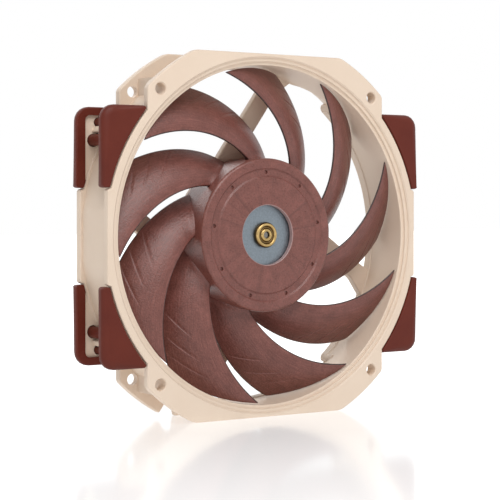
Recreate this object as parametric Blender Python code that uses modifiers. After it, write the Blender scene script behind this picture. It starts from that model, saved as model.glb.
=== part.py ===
"""Axial case fan: a moulded frame with a stepped round duct, soft corner pads, an impeller with swept
blades, and the motor and bearing that carry it. Metres, +Z up. Air enters at -Y and leaves at +Y."""

import math

import bmesh
import bpy
from mathutils import Matrix

# Clearances
FIT = 0.0003                  # between two pieces that are fixed together
SHAFT_CLEARANCE = 0.00006     # radial, shaft to sleeve
TIP_CLEARANCE = 0.0010        # blade tips to duct
RUN_GAP = 0.0008              # hub rim to motor base
AIR_GAP = 0.0006              # ring magnet to stator
END_GAP = 0.0012              # windings to yoke face

# Frame
DEPTH = 0.0250
BORE_RADIUS = 0.0657
INLET_STEPS = 2
STEP_WIDTH = 0.0014
STEP_DEPTH = 0.00105
OUTLET_CHAMFER = 0.0003
OUTLET_BAND = 0.0042           # last stretch of the duct, a little narrower
OUTLET_LIP = 0.0004
FLANGE_THICKNESS = 0.0032
FLAT_RIM = 0.0015             # flange left outside the inlet, at the top and bottom flats
SIDE_RIM = 0.00165            # the same, at the flat sides
ARC_RIM = 0.0033              # the same, along the round stretches behind the pads
FLAT_CORNER_RADIUS = 0.0060
WALL_RIM = 0.0021             # the same, for the round wall between the flanges
EDGE_STEP = 0.0002            # flats of that wall set in from the flange edges

# Screw ears
HOLE_RADIUS = 0.0022
HOLE_ANGLE = 48.23            # degrees above the horizontal
HOLE_WALL = 0.0027            # between hole and inlet
EAR_SIDE_WALL = 0.0034
EAR_TOP_WALL = 0.0021         # between hole and the ear's round end
EAR_CORNER_RADIUS = 0.0025

# Corner pads
PAD_DEPTH = 0.0040
PAD_PROUD = 0.00225           # beyond the flat sides of the frame
PAD_SHOULDER = 0.0016         # pad's end above the place where ear and arc meet
BARE_SIDE_HALF = 0.0180       # half of the side that the pads leave bare
PAD_CORNER_RADIUS = 0.0050
PAD_EDGE_RADIUS = 0.0009
PAD_FACE = 0.0012             # skin over the web's outer side
PAD_WALL = 0.0013             # skin round the web's edge
PAD_RIM = 0.0031              # lip behind the web
WEB_THICKNESS = 0.0012
PIN_END_GAP = 0.0020          # between the ends of facing pins
RIB_THICKNESS = 0.0024        # rib between the webs, passing between the pins
RIB_PROUD = 0.0050            # rib's end beyond the round flange
PINS = (                      # from the pad's outer side, from its end, radius
    (0.0070, 0.0124, 0.0022),
    (0.0092, 0.0056, 0.0016),
)

# Struts, cable way and motor base
STRUT_COUNT = 4
STRUT_WIDTH = 0.0070
STRUT_INSET = 0.0018          # strut's outer edge inside the middle of the base rim
STRUT_ANGLE = 54.5            # degrees, direction of the first strut
STRUT_DEPTH = 0.0034
STRUT_RECESS = 0.0002         # struts set in from the rear face
STRUT_FILLET = 0.0100         # filled corner between strut and base
CABLE_STRUT = 2
CABLE_WIDTH = 0.0026
CABLE_DEPTH = 0.0018
NOTCH_WIDTH = 0.0038          # at its bottom
NOTCH_CENTRE = 0.0325
NOTCH_DEPTH = 0.0055
NOTCH_FLARES = (0.21, 0.75)   # how far each side leans out for its depth
BASE_INSET = 0.0013           # base radius under hub radius
BASE_WALL = 0.0016
BASE_FLOOR = 0.0020
BASE_RECESS = 0.0003          # base set in from the rear face
RIM_PROUD = 0.0001            # base rim in front of the struts
BOSS_WALL = 0.0015
POST_COUNT = 3
POST_RADIUS = 0.0013
POST_HEIGHT = 0.0011
POST_INSET = 0.0028           # posts from the edge of the board

# Impeller
BLADE_COUNT = 9
HUB_RADIUS = 0.0298
HUB_SETBACK = 0.0020
HUB_WALL = 0.0019
HUB_FACE = 0.0021
HUB_EDGE_RADIUS = 0.0019
HUB_HOLE_RADIUS = 0.0118
CHANNEL_INSET = 0.0042         # ring channel's outer edge from the hub's
CHANNEL_WIDTH = 0.0028
CHANNEL_DEPTH = 0.0004
BLADE_THICKNESS = 0.0018
BLADE_EMBED = 0.0009          # blade root sunk in the hub wall
LEADING_ANGLE = 99.5          # degrees, leading edge of the first blade at the hub
BLADE_SPAN_ANGLE = 30.7       # degrees, chord at the hub
SWEEP = 43.4                  # degrees, from hub to tip
LEADING_HOOK = 2.9            # degrees, extra sweep close to the hub
TRAILING_HOOK = 5.5
LEADING_ROOT_SETBACK = 0.0063
LEADING_TIP_SETBACK = 0.0018
TRAILING_ROOT_SETBACK = 0.0009
TRAILING_TIP_SETBACK = 0.0045
CAMBER_ROOT = 0.0020
CAMBER_TIP = 0.0016

# Rotor inside the hub
YOKE_FACE = 0.0010
YOKE_WALL = 0.0012
YOKE_SETBACK = 0.0015
MAGNET_THICKNESS = 0.0027
MAGNET_SETBACK = 0.0015
MAGNET_RIM = 0.0010
SHAFT_RADIUS = 0.0015
BOSS_RADIUS = 0.00465
BOSS_NECK = 0.0016            # boss wall round the shaft, where it passes the yoke
BOSS_HEAD = 0.0010
BOSS_LENGTH = 0.0023          # of the neck behind the yoke's face
SHAFT_SETBACK = 0.0004        # shaft's end behind the boss's face
CLIP_THICKNESS = 0.0005
CLIP_WIDTH = 0.0015
CLIP_GROOVE = 0.0005
SHAFT_TAIL = 0.0007           # shaft behind the clip

# Bearing
TUBE_WALL = 0.0010
SLEEVE_WALL = 0.0024
SEAL_THICKNESS = 0.0006
SEAL_LIP = 0.0003
AXIAL_MAGNET_THICKNESS = 0.0008
THRUST_PAD_THICKNESS = 0.0010

# Stator and electronics
TOOTH_COUNT = 4
TOOTH_WIDTH = 0.0050
CORE_RING = 0.0030
SHOE_THICKNESS = 0.0028
SHOE_GAP_ANGLE = 12.0         # degrees between neighbouring shoes
INSULATOR_THICKNESS = 0.0008
WINDING = 0.0015
WINDING_END_GAP = 0.0008      # winding to ring, and winding to shoe
BOARD_THICKNESS = 0.0012
BOARD_INSET = 0.0023          # board's edge inside the stator's
BOARD_SPACE = 0.0023          # between windings and board
CHIP_HEIGHT = 0.0010
HALL_SIZE = (0.0030, 0.0018)
DRIVER_SIZE = (0.0050, 0.0040)
CAPACITOR_SIZE = (0.0020, 0.0012)

# Facets round a full turn
LARGE_STEPS = 72
HUB_STEPS = 48
SMALL_STEPS = 24
PIN_STEPS = 12
ARC_STEPS = 7
EAR_STEPS = 6
CORNER_STEPS = 4
BLADE_SPAN_STEPS = 9
BLADE_CHORD_STEPS = 6

# Sizes worked out from those above
FRONT = -DEPTH / 2
REAR = DEPTH / 2
INLET_RADIUS = BORE_RADIUS + INLET_STEPS * STEP_WIDTH
HALF_HEIGHT = INLET_RADIUS + FLAT_RIM
SIDE = INLET_RADIUS + SIDE_RIM
ARC = INLET_RADIUS + ARC_RIM
HOLE_CIRCLE = INLET_RADIUS + HOLE_WALL + HOLE_RADIUS
HOLE_X = HOLE_CIRCLE * math.cos(math.radians(HOLE_ANGLE))
HOLE_Z = HOLE_CIRCLE * math.sin(math.radians(HOLE_ANGLE))
EAR_SIDE = HOLE_X + HOLE_RADIUS + EAR_SIDE_WALL
EAR_RADIUS = HOLE_CIRCLE + HOLE_RADIUS + EAR_TOP_WALL
PAD_SIDE = SIDE + PAD_PROUD
PAD_END = math.sqrt(ARC**2 - EAR_SIDE**2) + PAD_SHOULDER

STRUT_FRONT = REAR - STRUT_RECESS - STRUT_DEPTH
BASE_FRONT = STRUT_FRONT - RIM_PROUD
BASE_RADIUS = HUB_RADIUS - BASE_INSET
STRUT_OFFSET = BASE_RADIUS - BASE_WALL / 2 - STRUT_INSET - STRUT_WIDTH / 2
FLOOR = REAR - BASE_RECESS - BASE_FLOOR
POST_TOP = FLOOR - POST_HEIGHT

HUB_FRONT = FRONT + HUB_SETBACK
HUB_REAR = BASE_FRONT - RUN_GAP
CHANNEL_OUTER = HUB_RADIUS - CHANNEL_INSET
CHANNEL_INNER = CHANNEL_OUTER - CHANNEL_WIDTH
TIP_RADIUS = BORE_RADIUS - TIP_CLEARANCE
ROOT_RADIUS = HUB_RADIUS - BLADE_EMBED

YOKE_RADIUS = HUB_RADIUS - HUB_WALL - FIT
YOKE_FRONT = HUB_FRONT + HUB_FACE + FIT
YOKE_INNER = YOKE_FRONT + YOKE_FACE
YOKE_REAR = HUB_REAR - YOKE_SETBACK
MAGNET_OUTER = YOKE_RADIUS - YOKE_WALL - FIT
MAGNET_INNER = MAGNET_OUTER - MAGNET_THICKNESS
STATOR_RADIUS = MAGNET_INNER - AIR_GAP

BOSS_NECK_RADIUS = SHAFT_RADIUS + FIT + BOSS_NECK
BOSS_FRONT = YOKE_FRONT - FIT - BOSS_HEAD
BOSS_REAR = YOKE_INNER + BOSS_LENGTH
SLEEVE_BORE = SHAFT_RADIUS + SHAFT_CLEARANCE
SLEEVE_RADIUS = SLEEVE_BORE + SLEEVE_WALL
TUBE_BORE = SLEEVE_RADIUS + FIT
TUBE_RADIUS = TUBE_BORE + TUBE_WALL
TUBE_FRONT = BOSS_REAR + RUN_GAP / 2
TUBE_REAR = FLOOR - FIT
SEAL_FRONT = TUBE_FRONT + FIT
SLEEVE_FRONT = SEAL_FRONT + SEAL_THICKNESS + FIT
PAD_TOP = TUBE_REAR - FIT - THRUST_PAD_THICKNESS
SHAFT_REAR = PAD_TOP - FIT
CLIP_REAR = SHAFT_REAR - SHAFT_TAIL
CLIP_FRONT = CLIP_REAR - CLIP_THICKNESS
AXIAL_MAGNET_FRONT = CLIP_FRONT - FIT - AXIAL_MAGNET_THICKNESS
SLEEVE_REAR = AXIAL_MAGNET_FRONT - FIT
SHAFT_FRONT = BOSS_FRONT + SHAFT_SETBACK

BOARD_REAR = POST_TOP - FIT
BOARD_FRONT = BOARD_REAR - BOARD_THICKNESS
BOARD_RADIUS = STATOR_RADIUS - BOARD_INSET
COIL_FRONT = YOKE_INNER + END_GAP
COIL_REAR = BOARD_FRONT - BOARD_SPACE
INSULATOR_FRONT = COIL_FRONT + WINDING + FIT
CORE_FRONT = INSULATOR_FRONT + INSULATOR_THICKNESS + FIT
INSULATOR_REAR = COIL_REAR - WINDING - FIT
CORE_REAR = INSULATOR_REAR - INSULATOR_THICKNESS - FIT
CORE_BORE = TUBE_RADIUS + FIT
CORE_RADIUS = CORE_BORE + CORE_RING
SHOE_INNER = STATOR_RADIUS - SHOE_THICKNESS
COIL_INNER = CORE_RADIUS + WINDING_END_GAP
COIL_OUTER = SHOE_INNER - WINDING_END_GAP


# Scene, materials and small helpers

def clear_scene():
    for old in list(bpy.data.objects):
        bpy.data.objects.remove(old, do_unlink=True)


def new_collection(name):
    collection = bpy.data.collections.new(name)
    bpy.context.scene.collection.children.link(collection)
    return collection


def finish(name, colour, roughness, metallic=0.0):
    material = bpy.data.materials.new(name)
    material.use_nodes = True
    shader = material.node_tree.nodes["Principled BSDF"]
    shader.inputs["Base Color"].default_value = (*colour, 1.0)
    shader.inputs["Roughness"].default_value = roughness
    shader.inputs["Metallic"].default_value = metallic
    return material


def dress(solid, material, carrier):
    """Gives a finished piece its material, smooth shading and the empty that carries it."""
    solid.data.materials.clear()
    solid.data.materials.append(material)
    solid.data.shade_smooth()
    solid.data.set_sharp_from_angle(angle=math.radians(30))
    solid.parent = carrier
    return solid


def weld(mesh):
    shape = bmesh.new()
    shape.from_mesh(mesh)
    bmesh.ops.remove_doubles(shape, verts=shape.verts, dist=1e-6)
    bmesh.ops.recalc_face_normals(shape, faces=shape.faces)
    shape.to_mesh(mesh)
    shape.free()


def plate(name, loops, front, rear, collection):
    """Flat outlines in X and Z, with any holes, extruded along Y from front to rear."""
    curve = bpy.data.curves.new(name, "CURVE")
    curve.dimensions = "2D"
    curve.fill_mode = "BOTH"
    curve.extrude = (rear - front) / 2
    for loop in loops:
        spline = curve.splines.new("POLY")
        spline.points.add(len(loop) - 1)
        for point, (x, z) in zip(spline.points, loop):
            point.co = (x, z, 0.0, 1.0)
        spline.use_cyclic_u = True
    outline = bpy.data.objects.new(name + "_outline", curve)
    outline.rotation_euler.x = math.pi / 2
    outline.location.y = (front + rear) / 2
    collection.objects.link(outline)
    bpy.context.view_layer.update()
    evaluated = outline.evaluated_get(bpy.context.evaluated_depsgraph_get())
    mesh = bpy.data.meshes.new_from_object(evaluated)
    weld(mesh)
    mesh.name = name
    solid = bpy.data.objects.new(name, mesh)
    solid.matrix_world = outline.matrix_world
    collection.objects.link(solid)
    bpy.data.objects.remove(outline)
    return solid


def turned(name, profile, steps, collection):
    """A solid turned about the fan's axis. The profile is (radius, Y), front to rear down its outer side,
    and it closes into a ring unless it starts on the axis."""
    last = len(profile) - 1
    edges = [(i, i + 1) for i in range(last)]
    if profile[0][0] > 0.0:
        edges.append((last, 0))
    mesh = bpy.data.meshes.new(name)
    mesh.from_pydata([(radius, 0.0, -y) for radius, y in profile], edges, [])
    solid = bpy.data.objects.new(name, mesh)
    solid.rotation_euler.x = math.pi / 2
    screw = solid.modifiers.new("turn", "SCREW")
    screw.steps = steps
    screw.render_steps = steps
    screw.use_merge_vertices = True
    screw.merge_threshold = 0.00001
    collection.objects.link(solid)
    return solid


def ring(name, inner, outer, front, rear, steps, collection):
    return turned(name, [(inner, front), (outer, front), (outer, rear), (inner, rear)], steps, collection)


def posts(name, places, front, rear, steps, collection):
    """Round posts along Y, one for each (x, z, radius)."""
    mesh = bpy.data.meshes.new(name)
    shape = bmesh.new()
    for x, z, radius in places:
        upright = Matrix.Translation((x, (front + rear) / 2, z)) @ Matrix.Rotation(math.pi / 2, 4, "X")
        bmesh.ops.create_cone(
            shape, cap_ends=True, segments=steps, radius1=radius, radius2=radius,
            depth=rear - front, matrix=upright,
        )
    shape.to_mesh(mesh)
    shape.free()
    solid = bpy.data.objects.new(name, mesh)
    collection.objects.link(solid)
    return solid


def block(name, low, high, collection, turn=0.0):
    """A box between two corners, turned about the fan's axis by so many degrees."""
    mesh = bpy.data.meshes.new(name)
    shape = bmesh.new()
    size = [b - a for a, b in zip(low, high)]
    middle = [(a + b) / 2 for a, b in zip(low, high)]
    bmesh.ops.create_cube(shape, size=1.0, matrix=Matrix.Translation(middle) @ Matrix.Diagonal((*size, 1.0)))
    shape.to_mesh(mesh)
    shape.free()
    solid = bpy.data.objects.new(name, mesh)
    solid.matrix_world = about_axis(turn)
    collection.objects.link(solid)
    return solid


def combine(solid, tool, operation):
    step = solid.modifiers.new(tool.name, "BOOLEAN")
    step.operation = operation
    step.solver = "EXACT"
    step.object = tool
    tool.hide_render = True
    tool.display_type = "WIRE"


def about_axis(degrees):
    """A turn about the fan's axis, counted from +X towards +Z."""
    return Matrix.Rotation(-math.radians(degrees), 4, "Y")


def polar(radius, degrees):
    angle = math.radians(degrees)
    return radius * math.cos(angle), radius * math.sin(angle)


def arc(radius, start, end, steps):
    return [polar(radius, start + (end - start) * i / steps) for i in range(steps + 1)]


def circle(radius, steps):
    return [polar(radius, 360.0 * i / steps) for i in range(steps)]


def degrees_of(x, z):
    return math.degrees(math.atan2(z, x))


def along_normal(circle_radius, offset):
    """How far along a line that passes the axis at this offset the circle is met."""
    return math.sqrt(circle_radius**2 - offset**2)


def rounded(corners):
    """A closed outline from (x, z, corner radius). A corner radius of 0 leaves the corner sharp."""
    outline = []
    for i, (x, z, radius) in enumerate(corners):
        if radius <= 0.0:
            outline.append((x, z))
            continue
        before, after = corners[i - 1], corners[(i + 1) % len(corners)]
        to_before = math.hypot(before[0] - x, before[1] - z)
        to_after = math.hypot(after[0] - x, after[1] - z)
        ux, uz = (before[0] - x) / to_before, (before[1] - z) / to_before
        vx, vz = (after[0] - x) / to_after, (after[1] - z) / to_after
        half = math.acos(max(-1.0, min(1.0, ux * vx + uz * vz))) / 2
        reach = min(radius / math.tan(half), 0.48 * to_before, 0.48 * to_after)
        radius = reach * math.tan(half)
        mx, mz = ux + vx, uz + vz
        scale = radius / math.sin(half) / math.hypot(mx, mz)
        cx, cz = x + mx * scale, z + mz * scale
        start = math.atan2(z + uz * reach - cz, x + ux * reach - cx)
        end = math.atan2(z + vz * reach - cz, x + vx * reach - cx)
        turn = (end - start + math.pi) % (2 * math.pi) - math.pi
        for k in range(CORNER_STEPS + 1):
            angle = start + turn * k / CORNER_STEPS
            outline.append((cx + radius * math.cos(angle), cz + radius * math.sin(angle)))
    return outline


def mirrored(corners, right, up):
    """Corners of the upper right quarter, moved to another quarter by the signs right and up."""
    return [(x * right, z * up, *rest) for x, z, *rest in corners]


# Frame

def flange_outline():
    """Flat sides, round stretches behind the pads, ears with a round end, flats at top and bottom."""
    start = degrees_of(SIDE, along_normal(ARC, SIDE))
    end = degrees_of(EAR_SIDE, along_normal(ARC, EAR_SIDE))
    quarter = [(x, z, 0.0) for x, z in arc(ARC, start, end, ARC_STEPS)]
    side, top = along_normal(EAR_RADIUS, EAR_SIDE), along_normal(EAR_RADIUS, HALF_HEIGHT)
    ear = arc(EAR_RADIUS, degrees_of(EAR_SIDE, side), degrees_of(top, HALF_HEIGHT), EAR_STEPS)
    quarter.append((EAR_SIDE, side, EAR_CORNER_RADIUS))
    quarter.extend((x, z, 0.0) for x, z in ear[1:-1])
    quarter.append((top, HALF_HEIGHT, FLAT_CORNER_RADIUS))
    half = quarter + mirrored(quarter, -1, 1)[::-1]
    return rounded(half + mirrored(half, 1, -1)[::-1])


def duct_outline():
    """The duct between the flanges: a round wall with a flat at each side, at the top and at the bottom."""
    wall, top, radius = SIDE - EDGE_STEP, HALF_HEIGHT - EDGE_STEP, INLET_RADIUS + WALL_RIM
    start = degrees_of(wall, along_normal(radius, wall))
    end = degrees_of(along_normal(radius, top), top)
    quarter = arc(radius, start, end, LARGE_STEPS // 8)
    upper = quarter + [(-x, z) for x, z in quarter[::-1]]
    return upper + [(-x, -z) for x, z in upper]


def pad_corners(inset, inner_radius, inner_side):
    """A pad's outline in the upper right quarter, set in along its outer edges."""
    tip = BARE_SIDE_HALF + inset
    side = PAD_SIDE - inset
    end = PAD_END - inset
    soft = PAD_EDGE_RADIUS
    first = degrees_of(along_normal(inner_radius, tip), tip)
    last = degrees_of(inner_side, along_normal(inner_radius, inner_side))
    inner = [(x, z, 0.0) for x, z in arc(inner_radius, first, last, ARC_STEPS)]
    big = max(PAD_CORNER_RADIUS - inset, soft)
    return [(side, end, big), (inner_side, end, 0.0)] + inner[::-1] + [(side, tip, soft)]


def pin_places(extra):
    return [(PAD_SIDE - out, PAD_END - down, radius + extra) for out, down, radius in PINS]


def rib_loop():
    """A radial rib in the upper right quarter, on the line half way between the two pins of a pad."""
    (ax, az, a), (bx, bz, b) = pin_places(0.0)
    apart = math.hypot(bx - ax, bz - az)
    part = (apart + a - b) / 2 / apart
    dx, dz = polar(1.0, degrees_of(ax + (bx - ax) * part, az + (bz - az) * part))
    ends = ((BORE_RADIUS + STEP_WIDTH, -1), (ARC + RIB_PROUD, -1), (ARC + RIB_PROUD, 1), (BORE_RADIUS + STEP_WIDTH, 1))
    half = RIB_THICKNESS / 2
    return [(dx * along - dz * half * side, dz * along + dx * half * side) for along, side in ends]


def strut_loop(index):
    """One strut from base rim to duct wall, with both ends cut round and its narrow corner at the base filled."""
    dx, dz = polar(1.0, STRUT_ANGLE - 360.0 / STRUT_COUNT * index)
    corners = []
    base, wall = BASE_RADIUS - BASE_WALL / 2, BORE_RADIUS + STEP_WIDTH
    for edge, radius in ((-1, base), (-1, wall), (1, wall), (1, base)):
        offset = STRUT_OFFSET + edge * STRUT_WIDTH / 2
        along = along_normal(radius, offset)
        corners.append((dx * along - dz * offset, dz * along + dx * offset))
    inner = STRUT_OFFSET - STRUT_WIDTH / 2
    along = along_normal(BASE_RADIUS, inner) + STRUT_FILLET
    corners.insert(1, (dx * along - dz * inner, dz * along + dx * inner))
    corners.insert(1, polar(base, degrees_of(*corners[0]) - math.degrees(STRUT_FILLET / BASE_RADIUS)))
    return corners


def cable_loop():
    """The cable's channel along one strut, from inside the base to the notch in the rear flange."""
    dx, dz = polar(1.0, STRUT_ANGLE - 360.0 / STRUT_COUNT * CABLE_STRUT)
    start, end = along_normal(BASE_RADIUS, STRUT_OFFSET), along_normal(BORE_RADIUS, STRUT_OFFSET)
    corners = []
    for along, side in ((start, -1), (end, -1), (end, 1), (start, 1)):
        offset = STRUT_OFFSET + side * CABLE_WIDTH / 2
        corners.append((dx * along - dz * offset, dz * along + dx * offset))
    return corners


def make_frame(parts, tools):
    quarters = [(right, up) for right in (1, -1) for up in (1, -1)]
    flange = flange_outline()
    frame = plate("frame", [flange], FRONT, FRONT + FLANGE_THICKNESS, parts)
    combine(frame, plate("rear_flange", [flange], REAR - FLANGE_THICKNESS, REAR, tools), "UNION")
    inside = FLANGE_THICKNESS / 2
    combine(frame, plate("duct", [duct_outline()], FRONT + inside, REAR - inside, tools), "UNION")

    web = pad_corners(PAD_WALL + FIT, ARC - ARC_RIM / 2, EAR_SIDE - ARC_RIM / 2)
    webs = [rounded(mirrored(web, right, up)) for right, up in quarters]
    web_front = PAD_FACE + FIT
    web_rear = web_front + WEB_THICKNESS
    combine(frame, plate("front_webs", webs, FRONT + web_front, FRONT + web_rear, tools), "UNION")
    combine(frame, plate("rear_webs", webs, REAR - web_rear, REAR - web_front, tools), "UNION")
    ribs = [mirrored(rib_loop(), right, up) for right, up in quarters]
    rib_end = web_front + WEB_THICKNESS / 2
    combine(frame, plate("ribs", ribs, FRONT + rib_end, REAR - rib_end, tools), "UNION")

    y = FRONT - FLANGE_THICKNESS
    bore = [(0.0, y)]
    for step in range(INLET_STEPS + 1):
        radius = INLET_RADIUS - step * STEP_WIDTH
        bore.append((radius, y))
        y = FRONT + (step + 1) * STEP_DEPTH
        if step < INLET_STEPS:
            bore.append((radius, y))
    outlet = BORE_RADIUS - OUTLET_LIP
    bore.append((BORE_RADIUS, REAR - OUTLET_BAND))
    bore.append((outlet, REAR - OUTLET_BAND + OUTLET_LIP))
    bore.append((outlet, REAR - OUTLET_CHAMFER))
    bore.append((outlet + 2 * OUTLET_CHAMFER, REAR + OUTLET_CHAMFER))
    bore.append((0.0, REAR + OUTLET_CHAMFER))
    combine(frame, turned("bore", bore, LARGE_STEPS, tools), "DIFFERENCE")

    inner = BASE_RADIUS - BASE_WALL
    socket = TUBE_RADIUS + FIT
    boss = socket + BOSS_WALL
    outside = REAR - BASE_RECESS
    base = [(0.0, FLOOR), (socket, FLOOR), (socket, POST_TOP), (boss, POST_TOP), (boss, FLOOR),
            (inner, FLOOR), (inner, BASE_FRONT), (BASE_RADIUS, BASE_FRONT), (BASE_RADIUS, outside), (0.0, outside)]
    combine(frame, turned("motor_base", base, HUB_STEPS, tools), "UNION")
    struts = [strut_loop(i) for i in range(STRUT_COUNT)]
    combine(frame, plate("struts", struts, STRUT_FRONT, REAR - STRUT_RECESS, tools), "UNION")
    board_posts = [
        (*polar(BOARD_RADIUS - POST_INSET, 360.0 / POST_COUNT * i), POST_RADIUS) for i in range(POST_COUNT)
    ]
    combine(frame, posts("board_posts", board_posts, POST_TOP, FLOOR + BASE_FLOOR / 2, PIN_STEPS, tools), "UNION")

    past = FLANGE_THICKNESS
    holes = [(HOLE_X * right, HOLE_Z * up, HOLE_RADIUS) for right, up in quarters]
    combine(frame, posts("screw_holes", holes, FRONT - past, REAR + past, PIN_STEPS, tools), "DIFFERENCE")
    pin_holes = [place for right, up in quarters for place in mirrored(pin_places(FIT), right, up)]
    front_holes = posts("front_pin_holes", pin_holes, FRONT - past, FRONT + PAD_DEPTH, PIN_STEPS, tools)
    combine(frame, front_holes, "DIFFERENCE")
    rear_holes = posts("rear_pin_holes", pin_holes, REAR - PAD_DEPTH, REAR + past, PIN_STEPS, tools)
    combine(frame, rear_holes, "DIFFERENCE")
    channel = plate("cable_channel", [cable_loop()], REAR - STRUT_RECESS - CABLE_DEPTH, REAR + past, tools)
    combine(frame, channel, "DIFFERENCE")
    near, far = (NOTCH_WIDTH / 2 + flare * (NOTCH_DEPTH + past) for flare in NOTCH_FLARES)
    bottom, mouth = -HALF_HEIGHT + NOTCH_DEPTH, -HALF_HEIGHT - past
    notch = [(-NOTCH_CENTRE - NOTCH_WIDTH / 2, bottom), (-NOTCH_CENTRE - far, mouth),
             (-NOTCH_CENTRE + near, mouth), (-NOTCH_CENTRE + NOTCH_WIDTH / 2, bottom)]
    notch = plate("cable_notch", [notch], REAR - 2 * FLANGE_THICKNESS, REAR + past, tools)
    combine(frame, notch, "DIFFERENCE")
    return frame


# Corner pads

def make_pad(name, right, up, face, parts, tools):
    """A soft pad hooked round one web. Face is -1 on the front flange and 1 on the rear flange."""

    def span(near, far):
        """A stretch measured inwards from the frame's face, as (lower Y, higher Y)."""
        ends = (face * (REAR - near), face * (REAR - far))
        return min(ends), max(ends)

    def outline(inset, inner_radius, inner_side):
        return [rounded(mirrored(pad_corners(inset, inner_radius, inner_side), right, up))]

    through = ARC_RIM
    pad = plate(name, outline(0.0, ARC + FIT, EAR_SIDE + FIT), *span(0.0, PAD_DEPTH), parts)
    slot_end = PAD_FACE + WEB_THICKNESS + 2 * FIT
    slot = outline(PAD_WALL, ARC - through, EAR_SIDE - through)
    combine(pad, plate(name + "_slot", slot, *span(PAD_FACE, slot_end), tools), "DIFFERENCE")
    mouth = outline(PAD_RIM, ARC - 2 * through, EAR_SIDE - 2 * through)
    mouth_start = PAD_FACE + FIT + WEB_THICKNESS / 2
    combine(pad, plate(name + "_mouth", mouth, *span(mouth_start, PAD_DEPTH + FIT), tools), "DIFFERENCE")
    pins = mirrored(pin_places(0.0), right, up)
    reach = DEPTH / 2 - PIN_END_GAP / 2
    combine(pad, posts(name + "_pins", pins, *span(PAD_FACE / 2, reach), PIN_STEPS, tools), "UNION")
    return pad


# Impeller

def blade_point(span, chord):
    """Span runs from hub to tip, chord from leading to trailing edge, both from 0 to 1."""
    radius = ROOT_RADIUS + (TIP_RADIUS - ROOT_RADIUS) * span
    out = max(0.0, (radius - HUB_RADIUS) / (TIP_RADIUS - HUB_RADIUS))
    hook = 1.0 - (1.0 - out) ** 4
    leading = LEADING_ANGLE + SWEEP * out + LEADING_HOOK * hook
    trailing = LEADING_ANGLE - BLADE_SPAN_ANGLE + SWEEP * out + TRAILING_HOOK * hook
    leading_y = HUB_FRONT + LEADING_ROOT_SETBACK + (LEADING_TIP_SETBACK - LEADING_ROOT_SETBACK) * out
    trailing_y = HUB_REAR - TRAILING_ROOT_SETBACK + (TRAILING_ROOT_SETBACK - TRAILING_TIP_SETBACK) * hook
    camber = CAMBER_ROOT + (CAMBER_TIP - CAMBER_ROOT) * out
    x, z = polar(radius, leading + (trailing - leading) * chord)
    y = leading_y + (trailing_y - leading_y) * chord - camber * 4.0 * chord * (1.0 - chord)
    return x, y, z


def blade_fullness(span, chord):
    """Share of the full thickness: a round nose, a thin tail, and thinner towards the tip."""
    section = 0.35 + 0.65 * math.sin(math.pi * chord**0.7)
    return section * (1.0 - 0.35 * span)


def make_blade(index, mesh, tools):
    blade = bpy.data.objects.new(f"blade_{index + 1}", mesh)
    tools.objects.link(blade)
    blade.matrix_world = about_axis(360.0 / BLADE_COUNT * index)
    thickness = blade.vertex_groups.new(name="thickness")
    for vertex in mesh.vertices:
        row, column = divmod(vertex.index, BLADE_SPAN_STEPS + 1)
        thickness.add([vertex.index], blade_fullness(column / BLADE_SPAN_STEPS, row / BLADE_CHORD_STEPS), "REPLACE")
    solidify = blade.modifiers.new("thickness", "SOLIDIFY")
    solidify.thickness = BLADE_THICKNESS
    solidify.offset = 0.0
    solidify.vertex_group = thickness.name
    return blade


def blade_mesh():
    """The blade's camber surface: a grid whose points follow the blade's rule."""
    shape = bmesh.new()
    bmesh.ops.create_grid(shape, x_segments=BLADE_SPAN_STEPS, y_segments=BLADE_CHORD_STEPS, size=0.5)
    for vertex in shape.verts:
        vertex.co = blade_point(vertex.co.x + 0.5, vertex.co.y + 0.5)
    mesh = bpy.data.meshes.new("blade")
    shape.to_mesh(mesh)
    shape.free()
    return mesh


def make_impeller(parts, tools):
    inner = HUB_RADIUS - HUB_WALL
    channel = HUB_FRONT + CHANNEL_DEPTH
    edge = [
        (HUB_RADIUS - HUB_EDGE_RADIUS + x, HUB_FRONT + HUB_EDGE_RADIUS - z)
        for x, z in arc(HUB_EDGE_RADIUS, 90.0, 0.0, CORNER_STEPS)
    ]
    hub = [(HUB_HOLE_RADIUS, HUB_FRONT), (CHANNEL_INNER, HUB_FRONT), (CHANNEL_INNER, channel),
           (CHANNEL_OUTER, channel), (CHANNEL_OUTER, HUB_FRONT), *edge, (HUB_RADIUS, HUB_REAR), (inner, HUB_REAR),
           (inner, HUB_FRONT + HUB_FACE), (HUB_HOLE_RADIUS, HUB_FRONT + HUB_FACE)]
    impeller = turned("impeller", hub, HUB_STEPS, parts)
    mesh = blade_mesh()
    for index in range(BLADE_COUNT):
        combine(impeller, make_blade(index, mesh, tools), "UNION")
    return impeller


# Rotor inside the hub

def make_yoke(parts):
    hole = BOSS_NECK_RADIUS + FIT
    inner = YOKE_RADIUS - YOKE_WALL
    cup = [(hole, YOKE_FRONT), (YOKE_RADIUS, YOKE_FRONT), (YOKE_RADIUS, YOKE_REAR), (inner, YOKE_REAR),
           (inner, YOKE_INNER), (hole, YOKE_INNER)]
    return turned("rotor_yoke", cup, HUB_STEPS, parts)


def make_magnet(parts):
    front, rear = YOKE_INNER + MAGNET_SETBACK, YOKE_REAR - MAGNET_RIM
    return ring("ring_magnet", MAGNET_INNER, MAGNET_OUTER, front, rear, HUB_STEPS, parts)


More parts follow.
